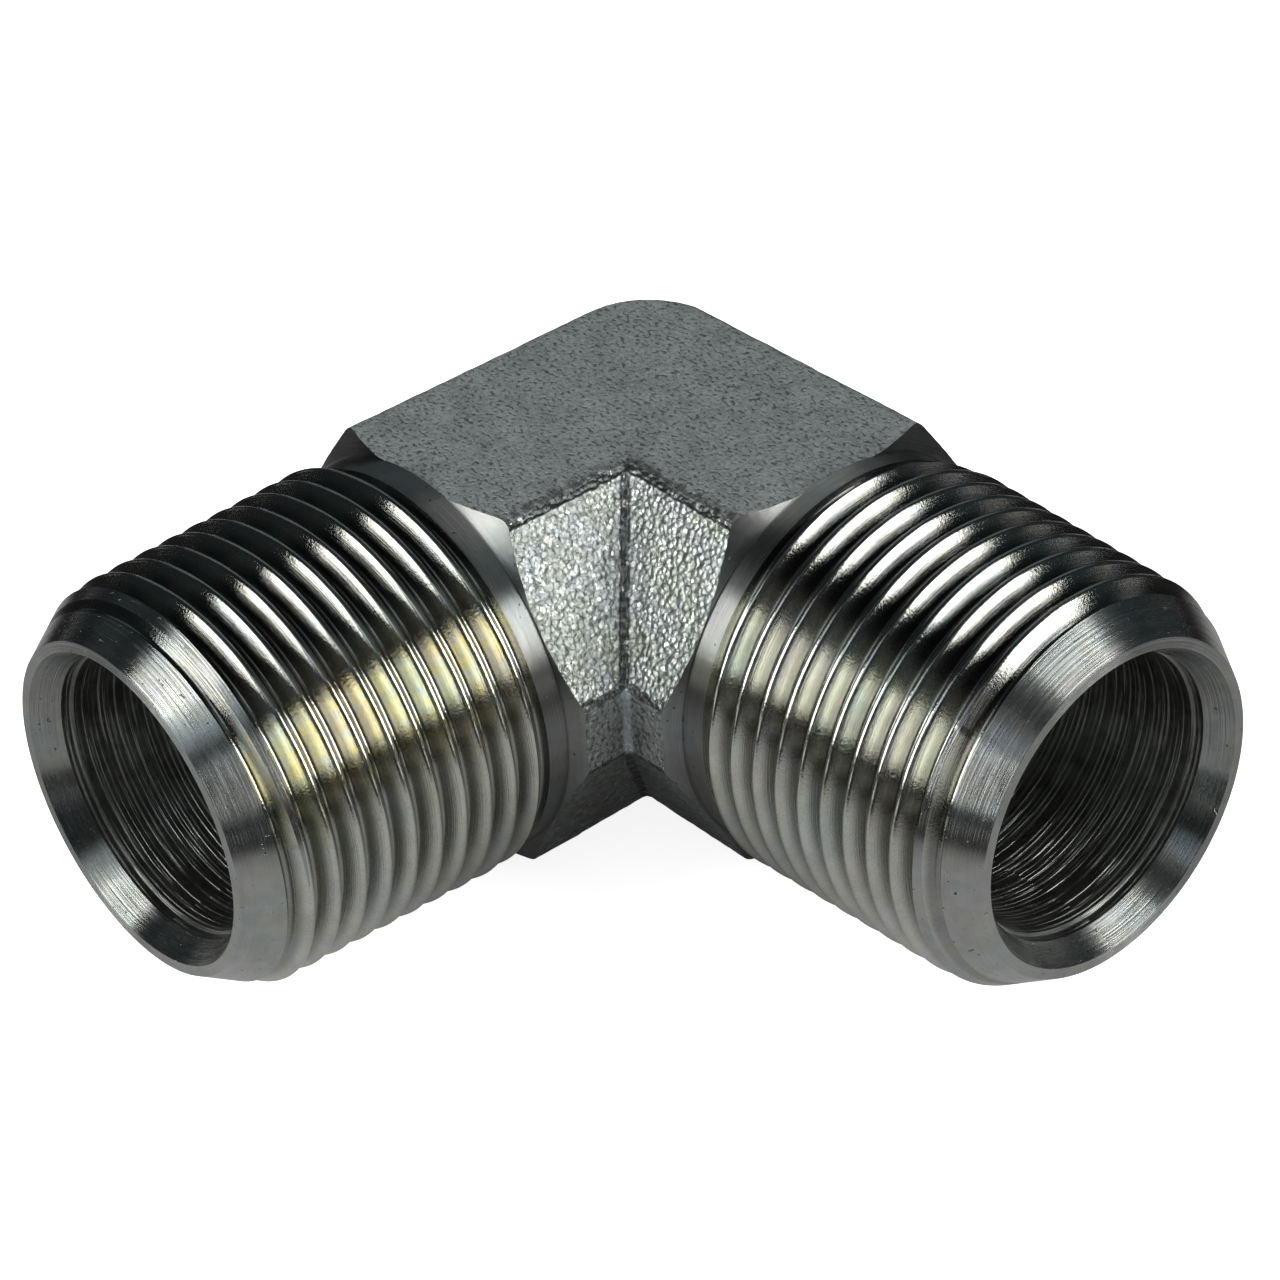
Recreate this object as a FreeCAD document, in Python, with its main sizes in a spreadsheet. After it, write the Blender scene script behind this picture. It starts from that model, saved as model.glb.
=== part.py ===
"""Hydraulic elbow adapter: a forged 90 degree body with a turned, tapered pipe end on each leg.

Frame: +Z up, port A leaves along +X and port B along -Y. The origin lies on the bottom forged flat,
straight below the point where the two port axes cross. Lengths are in millimetres.
"""

import FreeCAD, Part
import os

import Sketcher


# Driving dimensions

SIZES = {
    # Forged body
    "leg_length": 51.0,            # axis crossing to each end face
    "across_flats": 32.0,          # top forged flat to bottom forged flat
    "flat_width": 19.2,            # width of the top and bottom flats, across a leg
    "parting_width": 35.6,         # width of a leg across its two trimmed parting strips
    "strip_height": 5.6,           # height of a trimmed parting strip
    "corner_radius": 6.5,          # outer corner of the flats, seen from above
    "flat_edge_radius": 1.2,       # rounding along the edges of the flats
    "seam_radius": 0.9,            # blend in the inner mitre seam
    "shoulder_land": 4.7,          # inner mitre corner to the turned shoulder, along a leg
    "shoulder_rise": 0.5,          # turned shoulder circle beyond the flats, in radius
    "shoulder_angle": 31.0,        # slope of the turned shoulder, from the plane of the face
    # Tapered pipe end, R 1: 11 threads per inch, taper 1 in 16 on diameter
    "thread_end_diameter": 32.6,   # thread crests, extended to the end face
    "taper_ratio": 16.0,           # length over which the crest diameter grows by one
    "thread_pitch": 2.309,         # crest to crest
    "thread_depth": 1.479,         # crest to root
    "crest_width": 0.385,          # flat left on top of each thread ridge
    "neck_length": 2.8,            # run-out between the shoulder and the full thread
    "neck_depth": 0.9,             # depth of the run-out under the thread crests
    "neck_ramp": 0.7,              # axial length of the slope from the run-out to the crests
    "lead_angle": 32.6,            # long lead-in chamfer, from the port axis
    # Port
    "end_wall": 4.9,               # thread crests at the end face to the wall of the drilled passage
    "socket_step": 0.2,            # socket radius beyond the bore radius
    "socket_length": 1.0,          # straight socket between the cone seat and the bore
    "seat_cone_angle": 60.0,       # included angle of the sealing cone
    "seat_width": 1.2,             # radial width of the sealing cone
    "lip_width": 0.85,             # flat ring between the cone mouth and the lead-in chamfer
    "drill_overrun": 5.0,          # full bore diameter beyond the axis crossing
    "drill_point_angle": 118.0,    # included angle of the drill point
    "drill_web": 2.0,              # width of the blunt tip of the drill point
}

# Each port's axis: the origin plane across it, and its angle from +X in degrees
PORT_PLANES = {"port_a": "YZ_Plane", "port_b": "XZ_Plane"}
PORT_ANGLES = {"port_a": 0.0, "port_b": -90.0}

FULL_TURN = 360.0    # degrees
SAME = 1e-6          # two places closer than this are one

doc = FreeCAD.newDocument("elbow_adapter")
sheet = doc.addObject("Spreadsheet::Sheet", "Sizes")
for row, (alias, size) in enumerate(SIZES.items(), start=1):
    sheet.set(f"A{row}", alias)
    sheet.set(f"B{row}", str(size))
    sheet.setAlias(f"B{row}", alias)
doc.recompute()

body = doc.addObject("PartDesign::Body", "ElbowBody")
body.Label = "elbow_body"


# Expressions shared by several features

HALF_HEIGHT = "Sizes.across_flats / 2"
HALF_FLAT = "Sizes.flat_width / 2"
HALF_PARTING = "Sizes.parting_width / 2"
HALF_STRIP = "Sizes.strip_height / 2"
CORNER_OFFSET = f"({HALF_FLAT} - Sizes.corner_radius)"
TAPER_SLOPE = "(0.5 / Sizes.taper_ratio)"
END_CREST = "Sizes.thread_end_diameter / 2"
BORE_RADIUS = f"({END_CREST} - Sizes.end_wall)"
SOCKET_RADIUS = f"({BORE_RADIUS} + Sizes.socket_step)"
MOUTH_RADIUS = f"({SOCKET_RADIUS} + Sizes.seat_width)"
LIP_RADIUS = f"({MOUTH_RADIUS} + Sizes.lip_width)"
LEAD_SLOPE = "tan(Sizes.lead_angle * 1deg)"
LEAD_LENGTH = f"(({END_CREST} - {LIP_RADIUS}) / ({LEAD_SLOPE} - {TAPER_SLOPE}))"
LEAD_START = f"(Sizes.leg_length - {LEAD_LENGTH})"
SHOULDER = f"({HALF_PARTING} + Sizes.shoulder_land)"
NECK_END = f"({SHOULDER} + Sizes.neck_length)"
RAMP_END = f"({NECK_END} + Sizes.neck_ramp)"
SEAT_DEPTH = "(Sizes.seat_width / tan(Sizes.seat_cone_angle / 2 * 1deg))"
SEAT_END = f"(Sizes.leg_length - {SEAT_DEPTH})"
WEB_RADIUS = "Sizes.drill_web / 2"
DRILL_POINT = f"(({BORE_RADIUS} - {WEB_RADIUS}) / tan(Sizes.drill_point_angle / 2 * 1deg))"
DRILL_TIP = f"-Sizes.drill_overrun - {DRILL_POINT}"


def value(expression):
    """The present value of an expression on the sheet's sizes."""
    return float(sheet.evalExpression(expression))


def crest_radius(station):
    """Radius of the tapered thread crests at a distance from the axis crossing."""
    return f"({END_CREST} + (Sizes.leg_length - {station}) * {TAPER_SLOPE})"


def thread_outline():
    """The corners of the thread between the run-out and the lead-in chamfer, drawn as plain rings."""
    threaded = value(f"{LEAD_START} - {RAMP_END} + Sizes.crest_width")
    count = int(threaded // value("Sizes.thread_pitch"))
    corners = []
    for number in range(count):
        near = f"({RAMP_END} + {number} * Sizes.thread_pitch)"
        root = f"({near} + (Sizes.thread_pitch - Sizes.crest_width) / 2)"
        far = f"({near} + Sizes.thread_pitch - Sizes.crest_width)"
        corners += [
            (near, crest_radius(near)),
            (root, f"({crest_radius(root)} - Sizes.thread_depth)"),
            (far, crest_radius(far)),
        ]
    return tuple(corners)


NECK_RADIUS = f"({crest_radius(SHOULDER)} - Sizes.neck_depth)"
SHOULDER_RADIUS = f"({HALF_HEIGHT} + Sizes.shoulder_rise)"


def plane(role):
    """One of the body's own origin planes."""
    return next(item for item in body.Origin.OriginFeatures if item.Role == role)


def sketch_on(role, name, shift=("0", "0", "0"), turn=0.0):
    """An empty sketch on an origin plane, shifted by three expressions and turned about its normal."""
    sketch = body.newObject("Sketcher::SketchObject", name)
    sketch.AttachmentSupport = [(plane(role), "")]
    sketch.MapMode = "FlatFace"
    sketch.AttachmentOffset = FreeCAD.Placement(
        FreeCAD.Vector(), FreeCAD.Rotation(FreeCAD.Vector(0, 0, 1), turn))
    for axis, expression in zip("xyz", shift):
        sketch.setExpression(f"AttachmentOffset.Base.{axis}", f"({expression}) * 1mm")
    return sketch


def hold(sketch, name, constraint, expression):
    """Add a constraint to a sketch and tie it to an expression."""
    sketch.renameConstraint(sketch.addConstraint(constraint), name)
    sketch.setExpression(f"Constraints.{name}", f"({expression}) * 1mm")


def outline(sketch, corners, hollow=None):
    """A closed outline whose corners are held by a pair of expressions each.

    hollow, if given, is the centre and radius of an anticlockwise arc that takes the place of the first side.
    """
    points = [FreeCAD.Vector(value(across), value(up), 0) for across, up in corners]
    count = len(points)
    for index in range(count):
        start, end = points[index], points[(index + 1) % count]
        if hollow and index == 0:
            centre = FreeCAD.Vector(value(hollow[0][0]), value(hollow[0][1]), 0)
            circle = Part.Circle(centre, FreeCAD.Vector(0, 0, 1), value(hollow[1]))
            side = Part.ArcOfCircle(circle, circle.parameter(start), circle.parameter(end))
        else:
            side = Part.LineSegment(start, end)
        sketch.addGeometry(side, False)
    for index in range(count):
        sketch.addConstraint(Sketcher.Constraint("Coincident", index, 2, (index + 1) % count, 1))
    for index, (across, up) in enumerate(corners):
        for kind, place, expression in (
                ("DistanceX", points[index].x, across),
                ("DistanceY", points[index].y, up)):
            constraint = Sketcher.Constraint(kind, -1, 1, index, 1, place)
            hold(sketch, f"{kind}_{index}", constraint, expression)
    if hollow:
        constraint = Sketcher.Constraint("Radius", 0, value(hollow[1]))
        hold(sketch, "hollow_radius", constraint, hollow[1])
    return sketch


def feature(kind, name, sketch):
    """A sketch-based feature of the body."""
    made = body.newObject(f"PartDesign::{kind}", name)
    made.Profile = sketch
    return made


def round_edges(name, keeps, radius):
    """A fillet on the edges of the present shape that a test picks out."""
    doc.recompute()
    base = body.Tip
    edges = [f"Edge{number}" for number, edge in enumerate(base.Shape.Edges, start=1) if keeps(edge)]
    fillet = body.newObject("PartDesign::Fillet", name)
    fillet.Base = (base, edges)
    fillet.setExpression("Radius", f"Sizes.{radius} * 1mm")
    return fillet


# Forged body: one leg's section along each axis, and its outer half swung round the corner

SECTION = (
    (HALF_FLAT, HALF_HEIGHT),
    (HALF_PARTING, HALF_STRIP),
    (HALF_PARTING, f"-{HALF_STRIP}"),
    (HALF_FLAT, f"-{HALF_HEIGHT}"),
    (f"-{HALF_FLAT}", f"-{HALF_HEIGHT}"),
    (f"-{HALF_PARTING}", f"-{HALF_STRIP}"),
    (f"-{HALF_PARTING}", HALF_STRIP),
    (f"-{HALF_FLAT}", HALF_HEIGHT),
)
CORNER_SECTION = (
    ("0", HALF_HEIGHT),
    ("Sizes.corner_radius", HALF_HEIGHT),
    (f"{HALF_PARTING} - {CORNER_OFFSET}", HALF_STRIP),
    (f"{HALF_PARTING} - {CORNER_OFFSET}", f"-{HALF_STRIP}"),
    ("Sizes.corner_radius", f"-{HALF_HEIGHT}"),
    ("0", f"-{HALF_HEIGHT}"),
)

for port, across_plane in PORT_PLANES.items():
    section = sketch_on(across_plane, f"{port}_section", ("0", "0", f"-{CORNER_OFFSET}"))
    leg = feature("Pad", f"{port}_leg", outline(section, SECTION))
    leg.setExpression("Length", f"({SHOULDER} + {CORNER_OFFSET}) * 1mm")

corner_sketch = sketch_on("YZ_Plane", "corner_section", (CORNER_OFFSET, "0", f"-{CORNER_OFFSET}"))
corner = feature("Revolution", "outer_corner", outline(corner_sketch, CORNER_SECTION))
corner.ReferenceAxis = (corner_sketch, ["V_Axis"])
corner.Angle = abs(PORT_ANGLES["port_a"] - PORT_ANGLES["port_b"])


# Blend in the inner mitre seam: the same hollow corner at every height, where the two legs' sides meet

seam_levels = []
for level, half_width in (
        (HALF_HEIGHT, HALF_FLAT),
        (HALF_STRIP, HALF_PARTING),
        (f"-{HALF_STRIP}", HALF_PARTING),
        (f"-{HALF_HEIGHT}", HALF_FLAT)):
    near = f"{half_width} - Sizes.seam_radius"
    far = f"{half_width} + Sizes.seam_radius"
    seam_corner = (
        (far, f"-{half_width}"),
        (half_width, f"-({far})"),
        (near, f"-({far})"),
        (near, f"-({near})"),
        (far, f"-({near})"),
    )
    section = sketch_on("XY_Plane", f"seam_level_{len(seam_levels)}", ("0", "0", level))
    seam_levels.append(outline(section, seam_corner, ((far, f"-({far})"), "Sizes.seam_radius")))
seam = feature("AdditiveLoft", "inner_seam", seam_levels[0])
seam.Sections = seam_levels[1:]
seam.Ruled = True


def along_flat(edge):
    """True for an edge of the top or bottom flat that a leg's end face doesn't share."""
    box = edge.BoundBox
    on_flat = box.ZLength < SAME and abs(abs(box.ZMax) - value(HALF_HEIGHT)) < SAME
    reach = max(box.XMin, -box.YMax)
    return on_flat and reach < value(SHOULDER) - SAME


round_edges("flat_edges", along_flat, "flat_edge_radius")


# Turned pipe ends and shoulders, and the drilled passages

SHANK = (
    (SHOULDER, "0"),
    (SHOULDER, NECK_RADIUS),
    (NECK_END, NECK_RADIUS),
    *thread_outline(),
    (LEAD_START, crest_radius(LEAD_START)),
    ("Sizes.leg_length", LIP_RADIUS),
    ("Sizes.leg_length", "0"),
)
TURNED_WIDTH = "Sizes.across_flats / 4"
TURNED_TO = f"{SHOULDER_RADIUS} + {TURNED_WIDTH}"
TURNED_BACK = (
    (SHOULDER, SHOULDER_RADIUS),
    (f"{SHOULDER} - {TURNED_WIDTH} * tan(Sizes.shoulder_angle * 1deg)", TURNED_TO),
    (SHOULDER, TURNED_TO),
)
PASSAGE = (
    ("Sizes.leg_length", "0"),
    ("Sizes.leg_length", MOUTH_RADIUS),
    (SEAT_END, SOCKET_RADIUS),
    (f"{SEAT_END} - Sizes.socket_length", SOCKET_RADIUS),
    (f"{SEAT_END} - Sizes.socket_length", BORE_RADIUS),
    ("-Sizes.drill_overrun", BORE_RADIUS),
    (DRILL_TIP, WEB_RADIUS),
    (DRILL_TIP, "0"),
)

for kind, part_name, corners in (
        ("Groove", "shoulder", TURNED_BACK),
        ("Revolution", "shank", SHANK),
        ("Groove", "passage", PASSAGE)):
    for port, angle in PORT_ANGLES.items():
        profile = sketch_on("XY_Plane", f"{port}_{part_name}_profile", turn=angle)
        turned = feature(kind, f"{port}_{part_name}", outline(profile, corners))
        turned.ReferenceAxis = (profile, ["H_Axis"])
        turned.Angle = FULL_TURN

body.setExpression("Placement.Base.z", f"({HALF_HEIGHT}) * 1mm")
doc.recompute()


# Checks: every feature is sound, every cut removes material and every addition adds it

broken = [item.Name for item in doc.Objects if {"Invalid", "Error"} & set(item.State)]
if broken:
    raise RuntimeError(f"features that failed: {broken}")

volume = 0.0
for item in body.Group:
    if not item.isDerivedFrom("PartDesign::Feature"):
        continue
    change = item.Shape.Volume - volume
    volume = item.Shape.Volume
    cuts = item.isDerivedFrom("PartDesign::Groove")
    adds = item.isDerivedFrom("PartDesign::Pad") or item.isDerivedFrom("PartDesign::Revolution")
    if (cuts and change >= 0) or (adds and change <= 0):
        raise RuntimeError(f"{item.Name} changes the volume the wrong way: {change:.3f}")

shape = body.Shape
if shape.isNull() or not shape.isValid() or len(shape.Solids) != 1:
    raise RuntimeError("the elbow body is not one valid solid")

os.makedirs("parts", exist_ok=True)
shape.exportStep(f"parts/{body.Label}.step")
print(f"{body.Label}: volume {shape.Volume:.1f} mm3, box {shape.BoundBox}")
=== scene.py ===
"""Hydraulic elbow adapter: the forged body, its turned and threaded pipe ends, and a plain studio round it.

Lengths are in metres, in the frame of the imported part: +Z up, port A along +X and port B along -Y.
"""

import math

import bmesh
import bpy
import numpy as np
from mathutils import Matrix, Vector


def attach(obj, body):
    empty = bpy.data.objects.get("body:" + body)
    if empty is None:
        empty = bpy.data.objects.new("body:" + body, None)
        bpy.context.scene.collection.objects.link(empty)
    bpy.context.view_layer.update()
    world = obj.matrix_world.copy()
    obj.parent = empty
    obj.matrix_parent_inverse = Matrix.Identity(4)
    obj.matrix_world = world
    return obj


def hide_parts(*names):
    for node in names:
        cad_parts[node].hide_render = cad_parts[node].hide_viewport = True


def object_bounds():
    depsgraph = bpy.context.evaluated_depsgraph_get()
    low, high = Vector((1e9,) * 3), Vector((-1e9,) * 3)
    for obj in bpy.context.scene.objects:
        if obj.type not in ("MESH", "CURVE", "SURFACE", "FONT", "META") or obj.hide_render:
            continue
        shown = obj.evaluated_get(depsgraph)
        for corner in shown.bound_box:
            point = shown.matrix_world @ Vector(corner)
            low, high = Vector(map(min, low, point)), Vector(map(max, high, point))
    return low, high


bl_info = {
    "name": "Hydraulic elbow adapter",
    "version": (1, 0, 0),
    "blender": (4, 5, 0),
    "location": "3D View > Sidebar > Elbow",
    "description": "Models a forged right-angle adapter with tapered pipe threads and its studio",
    "category": "Object",
}

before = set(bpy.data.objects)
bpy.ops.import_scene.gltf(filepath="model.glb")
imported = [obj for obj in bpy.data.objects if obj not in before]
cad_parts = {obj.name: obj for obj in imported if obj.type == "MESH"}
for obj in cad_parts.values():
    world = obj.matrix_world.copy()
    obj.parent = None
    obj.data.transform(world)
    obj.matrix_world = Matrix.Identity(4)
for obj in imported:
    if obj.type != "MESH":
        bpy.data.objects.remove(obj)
CAD_LOW, CAD_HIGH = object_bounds()

MM = 0.001
NODE = "elbow_body"
AXIS_HEIGHT = (CAD_LOW.z + CAD_HIGH.z) / 2
PORT_TURNS = {"port_a": 0.0, "port_b": -math.pi / 2}
CLOSE = 1e-6
ROUND_STEPS = 144
SMOOTH_ANGLE = math.radians(28)


# Sizes and colours that a user may change

class ElbowSizes(bpy.types.PropertyGroup):
    """Sizes of the forged body and of its pipe ends."""

    across_flats: bpy.props.FloatProperty(
        name="Across flats", description="Height from the bottom flat to the top flat",
        default=0.032, unit="LENGTH")
    flat_width: bpy.props.FloatProperty(
        name="Flat width", description="Width of the top and bottom flats across a leg",
        default=0.0192, unit="LENGTH")
    parting_width: bpy.props.FloatProperty(
        name="Parting width", description="Width of a leg across its trimmed strips",
        default=0.0356, unit="LENGTH")
    strip_height: bpy.props.FloatProperty(
        name="Strip height", description="Height of a trimmed strip on the parting line",
        default=0.0056, unit="LENGTH")
    corner_radius: bpy.props.FloatProperty(
        name="Corner radius", description="Outer corner of the flats seen from above",
        default=0.0065, unit="LENGTH")
    flat_edge_radius: bpy.props.FloatProperty(
        name="Flat edge radius", description="Rounding along the edges of the flats",
        default=0.0012, unit="LENGTH")
    shoulder: bpy.props.FloatProperty(
        name="Shoulder", description="Axis crossing to the turned shoulder",
        default=0.0225, unit="LENGTH")
    leg_length: bpy.props.FloatProperty(
        name="Leg length", description="Axis crossing to each end face",
        default=0.051, unit="LENGTH")
    thread_end_radius: bpy.props.FloatProperty(
        name="Thread end radius", description="Radius of the crests, extended to the end face",
        default=0.0163, unit="LENGTH")
    pitch: bpy.props.FloatProperty(
        name="Pitch", description="Axial distance between two thread crests",
        default=0.002309, unit="LENGTH")
    bore_radius: bpy.props.FloatProperty(
        name="Bore radius", description="Radius of the drilled passages",
        default=0.0114, unit="LENGTH")


class ElbowFinish(bpy.types.PropertyGroup):
    """Colours of the bare and plated steel."""

    forged_colour: bpy.props.FloatVectorProperty(
        name="Forged colour", description="Shot-blasted forging under thin plating",
        default=(0.295, 0.317, 0.308), subtype="COLOR", min=0.0, max=1.0)
    turned_colour: bpy.props.FloatVectorProperty(
        name="Turned colour", description="Shoulders, end rings, chamfers and cone seats",
        default=(0.36, 0.375, 0.37), subtype="COLOR", min=0.0, max=1.0)
    thread_colour: bpy.props.FloatVectorProperty(
        name="Thread colour", description="Zinc plating on the threads",
        default=(0.42, 0.43, 0.41), subtype="COLOR", min=0.0, max=1.0)
    bore_colour: bpy.props.FloatVectorProperty(
        name="Bore colour", description="Inside of the drilled passages",
        default=(0.34, 0.35, 0.33), subtype="COLOR", min=0.0, max=1.0)
    film_amount: bpy.props.FloatProperty(
        name="Film amount", description="Strength of the rainbow film on turned and threaded faces",
        default=0.6, subtype="FACTOR", min=0.0, max=1.0)


# Selecting and shaping

def deselect_all():
    """Leave edit mode and deselect every object."""
    if bpy.context.object and bpy.context.object.mode != "OBJECT":
        bpy.ops.object.mode_set(mode="OBJECT")
    bpy.ops.object.select_all(action="DESELECT")


def make_active(*objects):
    """Select only these objects, the first of them active."""
    deselect_all()
    for item in objects:
        item.select_set(True)
    bpy.context.view_layer.objects.active = objects[0]


def apply_place(item):
    """Put an object's place, turn and scale into its mesh."""
    make_active(item)
    bpy.ops.object.transform_apply(location=True, rotation=True, scale=True)


def clear_selection(mesh):
    """In object mode, deselect every point, edge and face of a mesh."""
    for group in (mesh.vertices, mesh.edges, mesh.polygons):
        group.foreach_set("select", [False] * len(group))


def select_faces(item, keeps):
    """In object mode, select the faces whose normal passes a test."""
    clear_selection(item.data)
    for face in item.data.polygons:
        face.select = keeps(face.normal)


def select_edges(item, keeps):
    """In object mode, select the edges whose two end points pass a test."""
    mesh = item.data
    clear_selection(mesh)
    for edge in mesh.edges:
        start, end = (mesh.vertices[number].co for number in edge.vertices)
        edge.select = keeps(start, end)


def apply_modifier(item, modifier):
    """Apply one modifier of an object."""
    make_active(item)
    bpy.ops.object.modifier_apply(modifier=modifier.name)


def combine(item, tool, operation):
    """Cut an object with another, join them, or keep what they share. The other one is used up."""
    modifier = item.modifiers.new(operation.lower(), "BOOLEAN")
    modifier.operation = operation
    modifier.solver = "MANIFOLD"
    modifier.material_mode = "TRANSFER"
    modifier.object = tool
    apply_modifier(item, modifier)
    bpy.data.objects.remove(tool)
    if not item.data.polygons:
        raise RuntimeError(f"nothing is left after {operation}")


def turn_to_port(item, port):
    """Turn a piece that was made along +X to its port, and lift it to the axis height."""
    turn = Matrix.Rotation(PORT_TURNS[port], 4, "Z")
    item.data.transform(Matrix.Translation((0, 0, AXIS_HEIGHT)) @ turn)
    item.data.update()


def outline(name, points):
    """An object that is one open line through the points."""
    mesh = bpy.data.meshes.new(name)
    mesh.from_pydata(points, [(n, n + 1) for n in range(len(points) - 1)], [])
    item = bpy.data.objects.new(name, mesh)
    bpy.context.scene.collection.objects.link(item)
    return item


def turned_solid(name, profile):
    """Spin an outline of (station, radius) pairs round the X axis into a closed solid."""
    item = outline(name, [(station, radius, 0.0) for station, radius in profile])
    make_active(item)
    bpy.ops.object.mode_set(mode="EDIT")
    bpy.ops.mesh.select_all(action="SELECT")
    bpy.ops.mesh.spin(steps=ROUND_STEPS, angle=math.tau, center=(0, 0, 0), axis=(1, 0, 0))
    bpy.ops.mesh.select_all(action="SELECT")
    bpy.ops.mesh.remove_doubles(threshold=CLOSE)
    bpy.ops.mesh.normals_make_consistent(inside=False)
    bpy.ops.object.mode_set(mode="OBJECT")
    return item


# Forged body

# How far a leg's blank runs on past its shoulder, until the lathe cuts it back
LEG_SPARE = 1.5 * MM
CORNER_SIDES = 128
FLAT_EDGE_STEPS = 4
SKIN_VOXEL = 0.4 * MM

# The blend of the inner seam: how far it reaches in from the flats' edges, and half its width
SEAM_REACH = 1.5 * MM
SEAM_HALF_WIDTH = 0.7 * MM

# Dents of the forged skin: size of the pattern, depth and layers of detail
DENTS = ((3.5 * MM, 0.10 * MM, 2), (0.9 * MM, 0.07 * MM, 1))


def leg_blank(sizes, port):
    """One leg's forged section: a bar with four slanted sides milled off and its long edges rounded."""
    half_high = sizes.across_flats / 2
    half_wide = sizes.parting_width / 2
    half_flat = sizes.flat_width / 2
    half_strip = sizes.strip_height / 2
    start = sizes.corner_radius - half_flat
    end = sizes.shoulder + LEG_SPARE
    deselect_all()
    bpy.ops.mesh.primitive_cube_add(
        size=1.0, location=((start + end) / 2, 0, 0),
        scale=(end - start, sizes.parting_width, sizes.across_flats))
    leg = bpy.context.object
    leg.name = f"{port}_leg"
    apply_place(leg)
    bpy.ops.object.mode_set(mode="EDIT")
    for side in (-1, 1):
        for up in (-1, 1):
            slope = Vector((0, side * (half_high - half_strip), up * (half_wide - half_flat))).normalized()
            bpy.ops.mesh.select_all(action="SELECT")
            bpy.ops.mesh.bisect(
                plane_co=(0, side * half_flat, up * half_high), plane_no=slope,
                use_fill=True, clear_outer=True, threshold=CLOSE)
    bpy.ops.object.mode_set(mode="OBJECT")

    def flat_edge(a, b):
        level = abs(abs(a.z) - half_high) < CLOSE and abs(abs(b.z) - half_high) < CLOSE
        return level and abs(a.y - b.y) < CLOSE

    select_edges(leg, flat_edge)
    round_flat_edges(sizes)
    turn_to_port(leg, port)
    return leg


def round_flat_edges(sizes):
    """Round the selected edges between a flat and the slanted sides."""
    turn = math.atan2(sizes.across_flats - sizes.strip_height, sizes.parting_width - sizes.flat_width)
    bpy.ops.object.mode_set(mode="EDIT")
    bpy.ops.mesh.select_mode(type="EDGE")
    bpy.ops.mesh.bevel(
        offset=sizes.flat_edge_radius * math.tan(turn / 2), segments=FLAT_EDGE_STEPS,
        affect="EDGES", clamp_overlap=False)
    bpy.ops.object.mode_set(mode="OBJECT")


def corner_blank(sizes):
    """The swung outer corner: a disc at the parting line, drawn in to both flats."""
    half_high = sizes.across_flats / 2
    offset = sizes.flat_width / 2 - sizes.corner_radius
    reach = sizes.parting_width / 2 - offset
    deselect_all()
    bpy.ops.mesh.primitive_cylinder_add(
        vertices=CORNER_SIDES, radius=reach, depth=sizes.strip_height, location=(-offset, offset, 0))
    corner = bpy.context.object
    corner.name = "outer_corner"
    apply_place(corner)
    scale = sizes.corner_radius / reach
    for up in (-1, 1):
        select_faces(corner, lambda normal: normal.z * up > 0.9)
        bpy.ops.object.mode_set(mode="EDIT")
        bpy.ops.mesh.select_mode(type="FACE")
        bpy.ops.mesh.extrude_region_move(
            TRANSFORM_OT_translate={"value": (0, 0, up * (half_high - sizes.strip_height / 2))})
        bpy.ops.transform.resize(value=(scale, scale, 1), center_override=(-offset, offset, 0))
        bpy.ops.object.mode_set(mode="OBJECT")
    select_edges(corner, lambda a, b: abs(abs(a.z) - half_high) < CLOSE and abs(a.z - b.z) < CLOSE)
    round_flat_edges(sizes)
    corner.data.transform(Matrix.Translation((0, 0, AXIS_HEIGHT)))
    return corner


def soften_seam(body, sizes):
    """Blend the hollow seam between the two legs on the inner side."""
    mesh = body.data
    clear_selection(mesh)
    start = sizes.flat_width / 2 - SEAM_REACH
    for point in mesh.vertices:
        x, y, _ = point.co
        point.select = x > start and y < -start and abs(x + y) < SEAM_HALF_WIDTH
    bpy.ops.object.mode_set(mode="EDIT")
    bpy.ops.mesh.select_mode(type="VERT")
    bpy.ops.mesh.vertices_smooth(factor=0.5, repeat=3)
    bpy.ops.object.mode_set(mode="OBJECT")


def forge_dents(body, size, depth, layers):
    """Sink the forged skin by a soft cloud pattern, never out of the forging's own outline."""
    clouds = bpy.data.textures.new(f"dents_{len(bpy.data.textures)}", "CLOUDS")
    clouds.noise_scale = size
    clouds.noise_depth = layers
    modifier = body.modifiers.new("dents", "DISPLACE")
    modifier.texture = clouds
    modifier.texture_coords = "LOCAL"
    modifier.direction = "NORMAL"
    modifier.mid_level = 1.0
    modifier.strength = depth
    apply_modifier(body, modifier)
    bpy.data.textures.remove(clouds)


class ELBOW_OT_forged_body(bpy.types.Operator):
    """Model the forged elbow: two legs, the swung corner, the inner seam and the uneven blasted skin"""

    bl_idname = "elbow.forged_body"
    bl_label = "Forged body"

    def execute(self, context):
        sizes = context.scene.elbow_sizes
        body = leg_blank(sizes, "port_a")
        others = [leg_blank(sizes, "port_b"), corner_blank(sizes)]
        make_active(body, *others)
        bpy.ops.object.join()
        body.name = "elbow"
        body.data.name = "elbow"
        body.data.remesh_voxel_size = SKIN_VOXEL
        body.data.remesh_voxel_adaptivity = 0.0
        make_active(body)
        bpy.ops.object.voxel_remesh()
        soften_seam(body, sizes)
        for size, depth, layers in DENTS:
            forge_dents(body, size, depth, layers)
        body.data.materials.clear()
        body.data.materials.append(steel("blasted_steel"))
        return {"FINISHED"}


# Turned and threaded pipe ends

# Half the angle of the thread form, and its rounding and depth in pitches
THREAD_ANGLE = math.radians(27.5)
THREAD_ROUND = 0.1373
THREAD_DEPTH = 0.6403
THREAD_ROUND_STEPS = 3

# The crests' radius shrinks by this much for each unit of length towards the end face
TAPER = 1 / 32

# The threaded rod starts this many pitches from the axis crossing, and has this many turns
PITCHES_BEFORE = 6
ROD_TURNS = 17

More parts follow.
